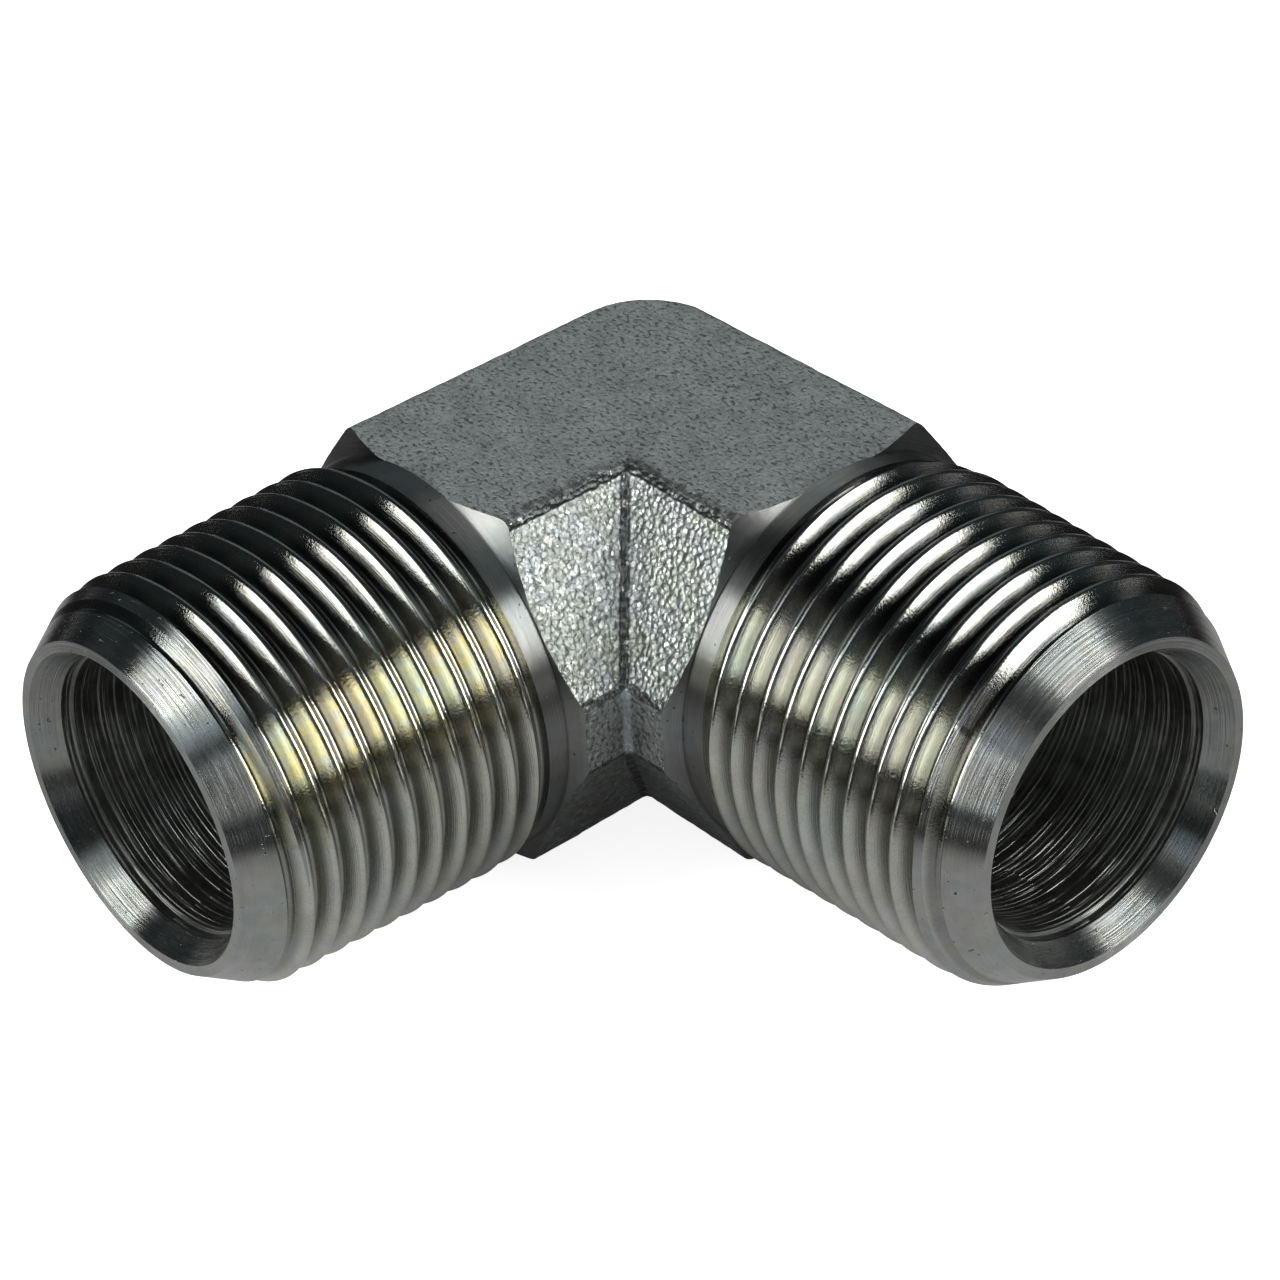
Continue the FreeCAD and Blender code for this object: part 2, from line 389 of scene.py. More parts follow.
# Distance of a crest from the axis crossing, which sets where each helix starts
CREST_STATION = {"port_a": 1.94 * MM, "port_b": 0.43 * MM}

# Run-out: how far beyond the shoulder the thread starts to lift, over what length, and how much
RUN_OUT_START = 2.1 * MM
RUN_OUT_LENGTH = 1.2 * MM
RUN_OUT_LIFT = 1.7 * MM

# The turned shank: its sunk root, its neck, the ramp up to the crests and the chamfer at the lip
SHANK_SUNK = 2.5 * MM
SHANK_ROOT_RADIUS = 14.0 * MM
SHANK_COLLAR_RADIUS = 15.8 * MM
SHOULDER_GAP = 0.05 * MM
NECK_DEPTH = 0.9 * MM
NECK_LENGTH = 2.8 * MM
RAMP_END = 3.5 * MM
CHAMFER_START = 24.15 * MM
LIP_RADIUS = 13.65 * MM
CREST_CLEARANCE = 0.02 * MM

# The lathe's cut beyond a shoulder: its flat ring past the flats, and the cone that leans back from it
SHOULDER_RING = 0.5 * MM
SHOULDER_LEAN = math.radians(31.0)
CUT_WIDTH = 8.0 * MM
CUT_LENGTH = 4.0 * MM

# The passage: cone seat, short socket, then the bore with its drill point past the axis crossing
SEAT_DEPTH = 2.078 * MM
SEAT_WIDTH = 1.2 * MM
SEAT_MOUTH_STEP = 1.4 * MM
SEAT_FLARE = 1.0 * MM
SOCKET_LENGTH = 1.0 * MM
SOCKET_STEP = 0.2 * MM
DRILL_PAST = 5.0 * MM
DRILL_TIP_RADIUS = 1.0 * MM
DRILL_HALF_ANGLE = math.radians(59.0)


def thread_form(pitch):
    """One pitch of the 55 degree thread form as (along, depth) pairs, from crest to crest."""
    round_radius = THREAD_ROUND * pitch
    depth = THREAD_DEPTH * pitch
    turn = math.pi / 2 - THREAD_ANGLE
    crest = []
    root = []
    for step in range(THREAD_ROUND_STEPS + 1):
        angle = turn * step / THREAD_ROUND_STEPS
        along = round_radius * math.sin(angle)
        down = round_radius * (1 - math.cos(angle))
        crest.append((along, down))
        root.append((pitch / 2 - along, depth - down))
    falling = crest + root[::-1]
    rising = [(pitch - along, down) for along, down in falling[-2::-1]]
    return falling + rising


def threaded_rod(sizes, port):
    """A rod with the tapered thread along its whole length, made by one pitch of the form and a screw."""
    pitch = sizes.pitch
    radius = sizes.thread_end_radius
    first = CREST_STATION[port] + pitch / 4 + PITCHES_BEFORE * pitch
    rod = outline("thread", [(first + along, 0.0, radius - down) for along, down in thread_form(pitch)])
    screw = rod.modifiers.new("screw", "SCREW")
    screw.axis = "X"
    screw.angle = math.tau
    screw.screw_offset = pitch
    screw.iterations = ROD_TURNS
    screw.steps = ROUND_STEPS
    screw.render_steps = ROUND_STEPS
    screw.use_merge_vertices = False
    apply_modifier(rod, screw)
    bpy.ops.object.mode_set(mode="EDIT")
    bpy.ops.mesh.select_all(action="SELECT")
    bpy.ops.mesh.remove_doubles(threshold=CLOSE)
    bpy.ops.object.mode_set(mode="OBJECT")
    taper_rod(rod, sizes)
    close_ends(rod)
    return rod


def close_ends(rod):
    """Close both open ends of the screw with a fan of faces."""
    make_active(rod)
    bpy.ops.object.mode_set(mode="EDIT")
    bpy.ops.mesh.select_all(action="SELECT")
    bpy.ops.mesh.fill_holes(sides=0)
    bpy.ops.mesh.select_mode(type="FACE")
    bpy.ops.object.mode_set(mode="OBJECT")
    for face in rod.data.polygons:
        face.select = len(face.vertices) > 4
    bpy.ops.object.mode_set(mode="EDIT")
    bpy.ops.mesh.poke()
    bpy.ops.mesh.select_all(action="SELECT")
    bpy.ops.mesh.normals_make_consistent(inside=False)
    bpy.ops.object.mode_set(mode="OBJECT")


def taper_rod(rod, sizes):
    """Give the rod its taper, and let the thread fade out towards the shoulder."""
    mesh = rod.data
    points = np.empty(len(mesh.vertices) * 3)
    mesh.vertices.foreach_get("co", points)
    points = points.reshape(-1, 3)
    station = points[:, 0]
    radius = np.hypot(points[:, 1], points[:, 2])
    lift = np.clip((sizes.shoulder + RUN_OUT_START - station) / RUN_OUT_LENGTH, 0, 1)
    grown = radius + (sizes.leg_length - station) * TAPER + lift * lift * RUN_OUT_LIFT
    factor = grown / np.maximum(radius, CLOSE)
    points[:, 1] *= factor
    points[:, 2] *= factor
    mesh.vertices.foreach_set("co", points.ravel())
    mesh.update()


def crest_radius(sizes, station):
    """Radius of the thread crests at a distance from the axis crossing."""
    return sizes.thread_end_radius + (sizes.leg_length - station) * TAPER


def turned_end(sizes, port):
    """The turned shank of a port, with its thread."""
    start = sizes.shoulder
    neck = crest_radius(sizes, start) - NECK_DEPTH
    ramp_end = start + RAMP_END
    chamfer = start + CHAMFER_START
    profile = (
        (start - SHANK_SUNK, 0.0),
        (start - SHANK_SUNK, SHANK_ROOT_RADIUS),
        (start - SHOULDER_GAP, SHANK_COLLAR_RADIUS),
        (start - SHOULDER_GAP, neck),
        (start + NECK_LENGTH, neck),
        (ramp_end, crest_radius(sizes, ramp_end) + CREST_CLEARANCE),
        (chamfer, crest_radius(sizes, chamfer) + CREST_CLEARANCE),
        (sizes.leg_length, LIP_RADIUS),
        (sizes.leg_length, 0.0),
    )
    shank = turned_solid("shank", profile)
    shank.data.materials.append(steel("turned_steel"))
    rod = threaded_rod(sizes, port)
    rod.data.materials.append(steel("threaded_steel"))
    combine(shank, rod, "INTERSECT")
    turn_to_port(shank, port)
    return shank


def shoulder_cutter(sizes, port):
    """What the lathe takes off the forging beyond a shoulder."""
    start = sizes.shoulder
    ring = sizes.across_flats / 2 + SHOULDER_RING
    profile = (
        (start, 0.0),
        (start, ring),
        (start - CUT_WIDTH * math.tan(SHOULDER_LEAN), ring + CUT_WIDTH),
        (start + CUT_LENGTH, ring + CUT_WIDTH),
        (start + CUT_LENGTH, 0.0),
    )
    cutter = turned_solid("shoulder", profile)
    cutter.data.materials.append(steel("turned_steel"))
    turn_to_port(cutter, port)
    return cutter


def passage(sizes, port):
    """The cone seat, the short socket, the drilled bore and its point, as one cutting solid."""
    end = sizes.leg_length
    seat = end - SEAT_DEPTH
    bore = sizes.bore_radius
    mouth = bore + SEAT_MOUTH_STEP
    tip = DRILL_PAST + (bore - DRILL_TIP_RADIUS) / math.tan(DRILL_HALF_ANGLE)
    profile = (
        (end + SEAT_FLARE, 0.0),
        (end + SEAT_FLARE, mouth + SEAT_FLARE * SEAT_WIDTH / SEAT_DEPTH),
        (seat, bore + SOCKET_STEP),
        (seat - SOCKET_LENGTH, bore + SOCKET_STEP),
        (seat - SOCKET_LENGTH, bore),
        (-DRILL_PAST, bore),
        (-tip, DRILL_TIP_RADIUS),
        (-tip, 0.0),
    )
    tool = turned_solid("passage", profile)
    tool.data.materials.append(steel("turned_steel"))
    tool.data.materials.append(steel("drilled_steel"))
    for face in tool.data.polygons:
        face.material_index = 1 if face.center.x < seat + CLOSE else 0
    turn_to_port(tool, port)
    return tool


def finish_piece(body):
    """Clean the finished mesh, test that it is closed, smooth it and tie it to the part."""
    shape = bmesh.new()
    shape.from_mesh(body.data)
    bmesh.ops.remove_doubles(shape, verts=shape.verts, dist=CLOSE / 2)
    bmesh.ops.dissolve_degenerate(shape, edges=shape.edges, dist=CLOSE / 2)
    open_edges = sum(1 for edge in shape.edges if not edge.is_manifold)
    if open_edges:
        raise RuntimeError(f"the elbow has {open_edges} open edges")
    bmesh.ops.triangulate(shape, faces=shape.faces)
    shape.to_mesh(body.data)
    shape.free()
    make_active(body)
    bpy.ops.object.shade_smooth_by_angle(angle=SMOOTH_ANGLE)
    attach(body, "root")
    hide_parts(NODE)


class ELBOW_OT_pipe_ends(bpy.types.Operator):
    """Turn both shoulders, add the threaded ends and drill the passages"""

    bl_idname = "elbow.pipe_ends"
    bl_label = "Pipe ends"

    def execute(self, context):
        sizes = context.scene.elbow_sizes
        body = bpy.data.objects["elbow"]
        for maker, operation in (
                (shoulder_cutter, "DIFFERENCE"), (turned_end, "UNION"), (passage, "DIFFERENCE")):
            for port in PORT_TURNS:
                combine(body, maker(sizes, port), operation)
        finish_piece(body)
        return {"FINISHED"}


# Shader nodes: patterns are in millimetres of the object's own coordinates

def add(tree, kind, inputs=None, **settings):
    """A node with its settings made and its inputs filled in or linked."""
    item = tree.nodes.new("ShaderNode" + kind)
    for name, value in settings.items():
        setattr(item, name, value)
    for key, value in (inputs or {}).items():
        if isinstance(value, bpy.types.NodeSocket):
            tree.links.new(value, item.inputs[key])
        else:
            item.inputs[key].default_value = value
    return item


def calc(tree, operation, *values):
    """The result of a sum on one to three values."""
    return add(tree, "Math", dict(enumerate(values)), operation=operation).outputs[0]


def times(tree, first, *others):
    """The product of two or more values."""
    for value in others:
        first = calc(tree, "MULTIPLY", first, value)
    return first


def choose(tree, factor, low, high):
    """A number between two others."""
    return add(tree, "Mix", {0: factor, 2: low, 3: high}).outputs[0]


def masked(tree, value, mask, amount):
    """A value, multiplied by an amount where a mask is one."""
    return times(tree, value, choose(tree, mask, 1.0, amount))


def tint(tree, factor, low, high, blend="MIX"):
    """A colour between two others, or a blend of them."""
    return add(tree, "Mix", {0: factor, 6: low, 7: high}, data_type="RGBA", blend_type=blend).outputs[2]


def fade(tree, value, start, end, low=0.0, high=1.0):
    """A soft step of a value from low to high."""
    limits = {0: value, 1: start, 2: end, 3: low, 4: high}
    return add(tree, "MapRange", limits, interpolation_type="SMOOTHSTEP").outputs[0]


def band(tree, value, rise, fall):
    """One between a rise and a fall of a value, and nought outside them."""
    return times(tree, fade(tree, value, *rise), fade(tree, value, *fall))


def noise(tree, place, scale, detail=2.0, rough=0.5):
    """Cloudy noise, with its scale in features a millimetre."""
    inputs = {"Vector": place, "Scale": scale, "Detail": detail, "Roughness": rough}
    return add(tree, "TexNoise", inputs).outputs[0]


def cells(tree, place, scale, output):
    """Cell noise, with its scale in cells a millimetre."""
    return add(tree, "TexVoronoi", {"Vector": place, "Scale": scale}).outputs[output]


def triple(tree, x, y, z):
    """A place, direction or colour made of three numbers."""
    return add(tree, "CombineXYZ", {0: x, 1: y, 2: z}).outputs[0]


def shaded(tree, colour, shade):
    """A steel's own colour, made darker or lighter by a pattern."""
    return tint(tree, 1.0, (*colour, 1.0), triple(tree, shade, shade, shade), "MULTIPLY")


def bump(tree, height, strength, distance):
    """A bumpy normal, with its distance in metres."""
    return add(tree, "Bump", {"Height": height, "Strength": strength, "Distance": distance}).outputs[0]


def ramp(tree, value, stops):
    """A colour from a scale of stops."""
    item = add(tree, "ValToRGB", {0: value})
    scale = item.color_ramp.elements
    while len(scale) < len(stops):
        scale.new(0.5)
    for element, (place, colour) in zip(scale, stops):
        element.position = place
        element.color = (*colour, 1.0)
    return item.outputs[0]


def new_steel(name):
    """An empty metal, with its node tree and shader."""
    material = bpy.data.materials.new(name)
    material.use_nodes = True
    shader = material.node_tree.nodes["Principled BSDF"]
    shader.inputs["Metallic"].default_value = 1.0
    return material.node_tree, shader


def connect(tree, shader, **sockets):
    """Link a shader's inputs, each named by its label in small letters."""
    for name, socket in sockets.items():
        tree.links.new(socket, shader.inputs[name.replace("_", " ").title()])


def object_place(tree):
    """Object coordinates in millimetres, x and y alone, and the level above the port axes."""
    place = add(tree, "TexCoord").outputs["Object"]
    place = add(tree, "VectorMath", {0: place, "Scale": 1 / MM}, operation="SCALE").outputs[0]
    parts = add(tree, "SeparateXYZ", {0: place}).outputs
    level = calc(tree, "SUBTRACT", parts[2], AXIS_HEIGHT / MM)
    return place, parts[0], parts[1], level


def port_place(tree):
    """Object coordinates, then which port a point belongs to, how far along, across and above its axis."""
    place, x, y, level = object_place(tree)
    port_a = calc(tree, "GREATER_THAN", calc(tree, "ADD", x, y), 0.0)
    minus_y = times(tree, y, -1.0)
    along = choose(tree, port_a, minus_y, x)
    across = choose(tree, port_a, x, minus_y)
    return place, port_a, along, across, level


def round_place(tree, across, level):
    """A point's radius and its turn from the top, about the axis of its port."""
    squares = calc(tree, "MULTIPLY_ADD", across, across, times(tree, level, level))
    return calc(tree, "SQRT", squares), calc(tree, "ARCTAN2", across, level)


def turning_direction(tree, port_a, across, level):
    """The direction in which the tool ran round the port's axis."""
    at_b = triple(tree, times(tree, level, -1.0), 0.0, across)
    at_a = triple(tree, 0.0, level, across)
    around = add(tree, "Mix", {0: port_a, 4: at_b, 5: at_a}, data_type="VECTOR").outputs[1]
    return add(tree, "VectorMath", {0: around}, operation="NORMALIZE").outputs[0]


def draw_out_shine(shader):
    """Draw the shine out across the tool lines, a quarter turn from their direction."""
    shader.inputs["Anisotropic"].default_value = 1.0
    shader.inputs["Anisotropic Rotation"].default_value = 0.25


# Finishes of the steel

# Levels in millimetres between which the forging's finish changes, and where its dark lines rise and fall
FLAT_FROM = (15.70, 15.90)
FLAT_LINE = ((15.3, 15.55), (16.0, 15.8))
STRIP_UP_TO = (3.6, 3.1)
STRIP_LINE = ((3.05, 3.2), (3.9, 3.45))

# The flats' inner edges, from the port axes, and how far the dark rim fades in from them
INNER_EDGE = 9.6
RIM_FADE = (2.4, 1.3)

# Distances from the inner seam at which its painted shade line and its crease on the strip fade
SEAM_SHADE_FADE = (0.62, 0.18)
CREASE_FADE = (0.7, 0.2)

# Stations over which the turned finish grows rougher and takes painted shade towards a shoulder
SHOULDER_SHADE_FADE = (33.0, 29.5)

# Radius that the cone of the thread crests has at the axis crossing, in millimetres
THREAD_CONE = 17.894

# The rainbow film: places on its scale and their colours
FILM_HUES = (
    (0.30, (0.90, 0.96, 1.0)),
    (0.42, (0.90, 1.0, 0.92)),
    (0.50, (1.0, 0.97, 0.72)),
    (0.58, (0.99, 0.88, 0.83)),
    (0.70, (0.86, 0.92, 1.0)),
)
WARM_GRAIN = (1.0, 1.0, 0.93, 1.0)
COOL_GRAIN = (0.96, 0.98, 1.0, 1.0)
GLINT_COLOUR = (0.80, 0.80, 0.76, 1.0)
CREASE_COLOUR = (0.48, 0.56, 0.60, 1.0)
# Warm tint laid where the threads' highlight band falls: a painted highlight colour
HIGHLIGHT_GOLD_TINT = (1.12, 1.04, 0.78, 1.0)


def film(tree, place, colour, amount):
    """The thin rainbow film that zinc passivation leaves, over a base colour."""
    hues = ramp(tree, noise(tree, place, 0.16, 3.0, 0.6), FILM_HUES)
    return tint(tree, amount, colour, hues, "MULTIPLY")


def forging_masks(tree, place, x, y, level):
    """Where the forging has trimmed strips, strips or flats, dark worn lines, painted shade along the inner
    seam, and the strips' crease.
    """
    height = calc(tree, "ABSOLUTE", level)
    wander = noise(tree, place, 1.3, 3.0)
    edge = calc(tree, "MULTIPLY_ADD", wander, 0.9, height)
    worn = calc(tree, "MULTIPLY_ADD", wander, 0.3, height)
    flat = fade(tree, worn, *FLAT_FROM)
    strip = fade(tree, edge, *STRIP_UP_TO)
    plain = calc(tree, "MAXIMUM", flat, strip)
    inside = calc(tree, "MAXIMUM", calc(tree, "SUBTRACT", INNER_EDGE, x), calc(tree, "ADD", y, INNER_EDGE))
    inside = calc(tree, "MULTIPLY_ADD", wander, 2.4, inside)
    rim = times(tree, fade(tree, inside, *RIM_FADE), flat)
    rim = calc(tree, "MAXIMUM", rim, band(tree, worn, *FLAT_LINE))
    rim = calc(tree, "MAXIMUM", rim, band(tree, edge, *STRIP_LINE))
    inner = calc(tree, "GREATER_THAN", calc(tree, "SUBTRACT", x, y), 0.0)
    from_seam = calc(tree, "ADD", x, y)
    ragged = calc(tree, "ABSOLUTE", calc(tree, "MULTIPLY_ADD", wander, 0.3, from_seam))
    # Painted shade: a dark line along the inner seam between the legs, on the slanted sides.
    seam = masked(tree, times(tree, fade(tree, ragged, *SEAM_SHADE_FADE), inner), plain, 0.0)
    crease = fade(tree, calc(tree, "ABSOLUTE", from_seam), *CREASE_FADE)
    return strip, plain, calc(tree, "MAXIMUM", rim, seam), times(tree, crease, inner, strip)


def blasted_steel(finish):
    """Shot-blasted forging: sparkling grain on the slanted sides, darker and flatter on the flats."""
    tree, shader = new_steel("blasted_steel")
    place, x, y, level = object_place(tree)
    strip, plain, dark, crease = forging_masks(tree, place, x, y, level)
    grain = noise(tree, place, 3.0, 3.0, 0.65)
    speck = add(tree, "SeparateColor", {0: cells(tree, place, 2.6, "Color")}).outputs[0]
    cup = cells(tree, place, 2.1, "Distance")
    clouds = noise(tree, place, 0.35, 4.0, 0.6)
    tone = calc(tree, "MULTIPLY_ADD", grain, 0.8, times(tree, clouds, 0.3))
    slanted = times(tree, fade(tree, tone, 0.36, 0.72, 0.86, 1.24), fade(tree, cup, 0.75, 0.35, 0.66, 1.0))
    shade = choose(tree, plain, slanted, fade(tree, tone, 0.35, 0.75, 0.80, 1.42))
    shade = masked(tree, shade, strip, 0.68)
    long_place = add(tree, "VectorMath", {0: place, 1: (1.0, 1.6, 1.3)}, operation="MULTIPLY").outputs[0]
    pits = fade(tree, noise(tree, long_place, 2.1), 0.54, 0.62)
    pits = times(tree, pits, choose(tree, plain, 0.2, 1.0))
    shade = masked(tree, shade, pits, 0.42)
    # The dark lines and rim, with the painted shade of the inner seam.
    shade = masked(tree, shade, dark, 0.34)
    glint = masked(tree, fade(tree, speck, 0.80, 0.92), plain, 0.25)
    colour = shaded(tree, finish.forged_colour, shade)
    warm = tint(tree, fade(tree, clouds, 0.4, 0.6), WARM_GRAIN, COOL_GRAIN)
    colour = tint(tree, choose(tree, plain, 1.0, 0.0), colour, tint(tree, 1.0, colour, warm, "MULTIPLY"))
    colour = tint(tree, times(tree, glint, 0.3), colour, GLINT_COLOUR)
    colour = tint(tree, times(tree, crease, 0.6), colour, CREASE_COLOUR)
    rough_sides = fade(tree, grain, 0.3, 0.7, 0.32, 0.46)
    rough_plain = fade(tree, clouds, 0.3, 0.7, 0.40, 0.55)
    rough = choose(tree, glint, choose(tree, plain, rough_sides, rough_plain), 0.28)
    relief = calc(tree, "MULTIPLY_ADD", grain, 0.7, times(tree, cup, -1.0))
    relief = times(tree, relief, choose(tree, plain, 0.6, choose(tree, strip, 0.35, 0.7)))
    relief = calc(tree, "MULTIPLY_ADD", pits, -0.3, relief)
    relief = calc(tree, "MULTIPLY_ADD", dark, -0.6, relief)
    connect(tree, shader, base_color=colour, metallic=choose(tree, plain, 0.95, 0.7), roughness=rough,
            normal=bump(tree, relief, 1.0, 0.2 * MM))


def turned_steel(finish):
    """Turned faces: shoulders, end rings, lead-in chamfers and cone seats, with fine tool lines."""
    tree, shader = new_steel("turned_steel")
    place, port_a, along, across, level = port_place(tree)
    radius, turn = round_place(tree, across, level)
    tool = triple(tree, times(tree, along, 7.0), times(tree, radius, 7.0), turn)
    lines = noise(tree, tool, 1.0, 2.0, 0.6)
    broad = noise(tree, triple(tree, along, radius, times(tree, turn, 3.0)), 1.6)
    clouds = noise(tree, place, 0.5, 4.0, 0.6)
    pits = fade(tree, noise(tree, place, 2.3, 1.0), 0.73, 0.76)
    shoulder = fade(tree, along, *SHOULDER_SHADE_FADE)
    shade = calc(tree, "MULTIPLY_ADD", lines, 0.3, fade(tree, clouds, 0.3, 0.7, 0.72, 0.88))
    shade = masked(tree, shade, pits, 0.35)
    # Painted shade on the turned faces close to the shoulder.
    shade = masked(tree, shade, shoulder, 0.72)
    # Painted shade: each turned face is darker over the top of its port's axis.
    shade = times(tree, shade, fade(tree, turn, 0.5, 0.3, 1.0, 0.8))
    colour = shaded(tree, finish.turned_colour, shade)
    colour = film(tree, place, colour, 0.5 * finish.film_amount)
    rough = calc(tree, "MULTIPLY_ADD", broad, 0.16, calc(tree, "MULTIPLY_ADD", lines, 0.14, 0.11))
    rough = calc(tree, "MULTIPLY_ADD", shoulder, 0.12, rough)
    relief = calc(tree, "MULTIPLY_ADD", lines, 1.0, times(tree, pits, -1.5))
    draw_out_shine(shader)
    connect(tree, shader, base_color=colour, roughness=rough, normal=bump(tree, relief, 0.6, 0.07 * MM),
            tangent=turning_direction(tree, port_a, across, level))


def threaded_steel(finish):
    """Cut threads under bright zinc: tool chatter on the flanks, painted shade in the roots and over the
    top, crests painted a little lighter, and a gold tint where the highlight band falls.
    """
    tree, shader = new_steel("threaded_steel")
    place, port_a, along, across, level = port_place(tree)
    radius, turn = round_place(tree, across, level)
    depth = calc(tree, "SUBTRACT", calc(tree, "MULTIPLY_ADD", along, -TAPER, THREAD_CONE), radius)
    chatter = triple(tree, times(tree, along, 1.5), times(tree, radius, 9.0), turn)
    lines = noise(tree, chatter, 1.3, 2.0, 0.6)
    speckle = noise(tree, place, 5.0, 2.0, 0.6)
    clouds = noise(tree, place, 0.35, 4.0, 0.6)
    # Painted shade in the thread roots, and a slight painted highlight on the crests.
    root = fade(tree, depth, 0.25, 1.0)
    shade = calc(tree, "MULTIPLY_ADD", speckle, 0.4, fade(tree, clouds, 0.3, 0.7, 0.68, 0.84))
    shade = times(tree, shade, choose(tree, root, 1.1, 0.6))
    # Painted shade over the top of the thread, and a little painted light on its side towards +across.
    shade = times(tree, shade, fade(tree, turn, 0.75, 0.5, 1.08, 0.66))
    colour = shaded(tree, finish.thread_colour, shade)
    # A gold tint in the band round the axis where the highlight falls: a painted warm highlight, broken up
    # by noise and weaker on port A.
    off_highlight_band = calc(tree, "SUBTRACT", calc(tree, "MULTIPLY_ADD", clouds, 0.5, turn), 1.28)
    gold = masked(tree, fade(tree, calc(tree, "ABSOLUTE", off_highlight_band), 0.45, 0.12), port_a, 0.15)
    gold = times(tree, gold, fade(tree, noise(tree, place, 1.1, 3.0), 0.38, 0.60))
    colour = tint(tree, gold, colour, tint(tree, 1.0, colour, HIGHLIGHT_GOLD_TINT, "MULTIPLY"))
    colour = film(tree, place, colour, 0.6 * finish.film_amount)
    rough = calc(tree, "MULTIPLY_ADD", speckle, 0.10, calc(tree, "MULTIPLY_ADD", lines, 0.10, 0.05))
    relief = calc(tree, "MULTIPLY_ADD", speckle, 0.6, lines)
    draw_out_shine(shader)
    connect(tree, shader, base_color=colour, roughness=rough, normal=bump(tree, relief, 0.6, 0.03 * MM),
            tangent=turning_direction(tree, port_a, across, level))


def drilled_steel(finish):
    """Drilled passages: dull and dark, with rings left by the drill, painted lighter as glints."""
    tree, shader = new_steel("drilled_steel")
    place, _, along, across, level = port_place(tree)
    radius, turn = round_place(tree, across, level)
    tool = triple(tree, times(tree, along, 6.0), times(tree, radius, 6.0), times(tree, turn, 0.9))
    lines = noise(tree, tool, 1.0, 2.0, 0.6)
    rings = calc(tree, "SINE", calc(tree, "MULTIPLY_ADD", along, 13.0, times(tree, lines, 9.0)))
    drill_rings_and_glints = times(tree, fade(tree, rings, -0.2, 0.9), fade(tree, lines, 0.42, 0.62))
    clouds = noise(tree, place, 0.4, 4.0, 0.6)
    # Painted glints: the drill rings lift the colour, and they also give the bump.
    shade = calc(tree, "MULTIPLY_ADD", drill_rings_and_glints, 0.9, fade(tree, clouds, 0.3, 0.7, 0.55, 0.95))
    colour = shaded(tree, finish.bore_colour, shade)
    rough = calc(tree, "MULTIPLY_ADD", lines, 0.2, 0.25)
    connect(tree, shader, base_color=colour, roughness=rough, normal=bump(tree, drill_rings_and_glints, 1.0, 0.03 * MM))


MAKERS = {
    "blasted_steel": blasted_steel,
    "turned_steel": turned_steel,
    "threaded_steel": threaded_steel,
    "drilled_steel": drilled_steel,
}


def steel(name):
    """One of the elbow's finishes, made when it is first asked for."""
    if name not in bpy.data.materials:
        MAKERS[name](bpy.context.scene.elbow_finish)
    return bpy.data.materials[name]


# Studio: every range of directions is in degrees, as seen from the middle of the part

STUDIO_MIDDLE = (0.016, -0.016)

# Lamps: name, radiance, azimuths, elevations and distance
LAMPS = (
    ("right_box", 10.0, (9, 42), (9, 42), 0.9),
    ("left_box", 10.0, (-122, -93), (8, 41), 0.9),
    ("top_box", 0.55, (-102, -45), (42, 60), 1.0),
    ("top_right_box", 0.13, (-30, 62), (50, 68), 1.0),
)

# Cards for reflections: name, grey, azimuths, elevations and distance
FLAGS = (
    ("front_left_flag", 0.03, (-95, -40), (-4, 52), 1.5),
    ("front_right_flag", 0.03, (-42, 8), (-4, 52), 1.5),
    ("right_flag", 0.06, (6, 62), (-4, 52), 1.5),
    ("right_back_flag", 0.05, (60, 112), (-4, 52), 1.5),
    ("back_right_flag", 0.04, (108, 152), (-4, 52), 1.5),
    ("back_left_flag", 0.04, (150, 192), (-4, 52), 1.5),
    ("left_back_flag", 0.04, (188, 236), (-4, 52), 1.5),
    ("left_flag", 0.04, (232, 267), (-4, 52), 1.5),
    ("back_wall", 0.3, (104, 180), (20, 50), 1.3),
    ("front_card", 0.9, (-84, -56), (34, 52), 1.2),
)
CARD_TINT = (0.82, 1.0, 1.12)
WIDE_CARD = (2.8, 2.8)
CEILING_HEIGHT = 1.5
CEILING_GREY = 0.03
TABLE_GAP = 0.1 * MM

# Brightness of the table card: start, end, and its values there, by distance in millimetres; its dark near
# the part is a painted shadow
TABLE_PAINTED_SHADOW = (18.0, 55.0, 0.05, 0.55)
TABLE_FAR = (75.0, 130.0, 1.0, 0.05)
TABLE_GLARE = (120.0, 150.0, 0.0, 1.0)

# The table's glare under the left box and half the width of both glares, in radians
LEFT_GLARE = 1.61
GLARE_WIDTH = (0.28, 0.18)

FLOOR_RADIUS = 3.0
FLOOR_SIDES = 96
FLOOR_GREY = 0.85
FLOOR_LIFT = 0.86
WORLD_LIGHT = 0.35

# The camera: its place from the axis crossing, its yaw, pitch and roll in degrees, and its lens
CAMERA_PLACE = (0.2025892, -0.1666950, 0.1724709)
CAMERA_TURNS = (50.8217, -34.8208, -3.5450)
CAMERA_LENS = 109.89
CAMERA_SENSOR = 36.0


def window(azimuths, elevations, distance, target):
    """Place and size of an upright card that fills a range of directions as the part sees them."""
    azimuth = math.radians(sum(azimuths) / 2)
    elevation = math.radians(sum(elevations) / 2)
    level = math.cos(elevation)
    away = Vector((math.cos(azimuth) * level, math.sin(azimuth) * level, math.sin(elevation)))
    turn = away.to_track_quat("Z", "Y").to_matrix().to_4x4()
    spans = [math.radians(ends[1] - ends[0]) for ends in (azimuths, elevations)]
    wide, high = (2 * distance * math.tan(span / 2) for span in spans)
    return Matrix.Translation(target + away * distance) @ turn, (wide * level, high)


